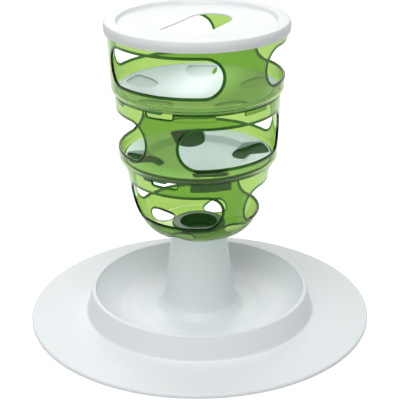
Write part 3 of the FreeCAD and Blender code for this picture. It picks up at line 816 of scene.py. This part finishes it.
# Tray: its section carried round, from the brim's edge over the ring, the dish and the post, and back inside
# the post and underneath to the same edge
def makeTray(name):
    dishSide = arcThrough(*tray["dishSide"], 44)
    flare = arcThrough(*tray["flare"], 18)
    brim = roundedLine([*tray["brim"], tuple(dishSide[1])], 8)
    dishFloor = np.linspace(dishSide[-1], flare[0], 8)[1:-1]
    inside = roundedLine([tuple(flare[-1]), *tray["post"], *tray["inPost"], *tray["under"]], 6)
    line = np.concatenate([brim[:-1], dishSide[1:], dishFloor, flare, inside[1:]])
    grid = turnedGrid(line, stepAngle * np.arange(columns))
    return meshOf(name, [(grid, (), mainKind)], tray["sharpAngle"])


trayPiece = makeTray("tray_white_shell")
finishPiece(trayPiece, [trayWhite, trayWhite], "base", "tray_white", "base_tray")
print("tray built")

# The pads and the two floors are the CAD nodes themselves
# the middle floor's dark green is partly painted shade
cadFinishes = {"antislip_pads": padRubber, "middle_floor": floorShadeGreen, "upper_floor": floorWhite}
for name, material in cadFinishes.items():
    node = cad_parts[name]
    node.data.materials.clear()
    node.data.materials.append(material)
print("pads and floors finished")


# Places and sizes are in metres here
studio = {
    "floor": [(-9, -9, 0), (9, -9, 0), (9, 14, 0), (-9, 14, 0)], "floorColour": (0.70, 0.70, 0.70, 1),
    "floorGlow": 0.62, "worldLight": 0.41, "white": (1, 1, 1, 1), "aim": (0, 0, 0.15),
    "lamps": {
        "top": {"place": (-0.12, -0.66, 1.82), "size": 1.2, "power": 18.5},
        "key": {"place": (-0.85, -1.35, 1.10), "size": 1.1, "power": 2.4},
        "back": {"place": (-0.20, 1.45, 1.15), "size": 1.3, "power": 6.4},
    },
}


# 1 for what the camera sees directly, in a mirror or through something clear
def seenRay(finish):
    names = ("Is Camera Ray", "Is Glossy Ray", "Is Transmission Ray")
    camera, glossy, through = (finish.node("ShaderNodeLightPath", output=name) for name in names)
    return camera.either(glossy).either(through)


# Pale paper with a glow that only shows where it is seen, a world that is white where it is seen and
# dimmer as a light, and three round lamps
def makeStudio():
    mesh = bpy.data.meshes.new("studio_floor")
    mesh.from_pydata(studio["floor"], [], [(0, 1, 2, 3)])
    floor = bpy.data.objects.new("studio_floor", mesh)
    bpy.context.scene.collection.objects.link(floor)
    finish = Finish(bpy.data.materials.new("studio paper"))
    paper = finish.node("ShaderNodeBsdfDiffuse", {}, {"Color": studio["floorColour"]})
    glow = finish.node("ShaderNodeEmission", {}, {
        "Color": studio["white"], "Strength": seenRay(finish) * studio["floorGlow"]})
    mesh.materials.append(finish.shown(finish.node("ShaderNodeAddShader", {}, {0: paper, 1: glow})))

    world = bpy.data.worlds.new("studio")
    bpy.context.scene.world = world
    finish = Finish(world)
    seen = seenRay(finish)
    light = finish.node("ShaderNodeBackground", {}, {
        "Color": studio["white"], "Strength": seen + studio["worldLight"] * (1 - seen)})
    finish.shown(light, "ShaderNodeOutputWorld")

    for name, look in studio["lamps"].items():
        lamp = bpy.data.lights.new(name, "AREA")
        lamp.shape = "DISK"
        lamp.size = look["size"]
        lamp.energy = look["power"]
        holder = bpy.data.objects.new(name, lamp)
        holder.location = look["place"]
        aim = Vector(studio["aim"]) - holder.location
        holder.rotation_euler = aim.to_track_quat("-Z", "Y").to_euler()
        bpy.context.scene.collection.objects.link(holder)


# Lens and sensor in millimetres, places in metres, angles in degrees
photoCamera = {
    "lens": 103.4, "sensor": 36, "farthest": 50,
    "place": (0.0, -1.1345, 0.6073), "down": 22.76, "turn": 0.07, "tilt": 0.50,
}


# The camera looks along +Y, turned to the right, then down, then tilted about its own line of sight
def makeCamera():
    down, turn, tilt = (math.radians(photoCamera[key]) for key in ("down", "turn", "tilt"))
    ahead = np.array([math.sin(turn) * math.cos(down), math.cos(turn) * math.cos(down), -math.sin(down)])
    right = np.array([math.cos(turn), -math.sin(turn), 0.0])
    below = np.cross(ahead, right)
    across = math.cos(tilt) * right + math.sin(tilt) * below
    under = -math.sin(tilt) * right + math.cos(tilt) * below
    data = bpy.data.cameras.new("photo camera")
    data.lens = photoCamera["lens"]
    data.sensor_width = photoCamera["sensor"]
    data.clip_end = photoCamera["farthest"]
    camera = bpy.data.objects.new("photo camera", data)
    turned = Matrix(np.column_stack([across, -under, -ahead]).tolist()).to_4x4()
    camera.matrix_world = Matrix.Translation(photoCamera["place"]) @ turned
    bpy.context.scene.collection.objects.link(camera)
    bpy.context.scene.camera = camera


makeStudio()
makeCamera()
bpy.context.scene.view_settings.view_transform = "Standard"
print("studio and camera set")
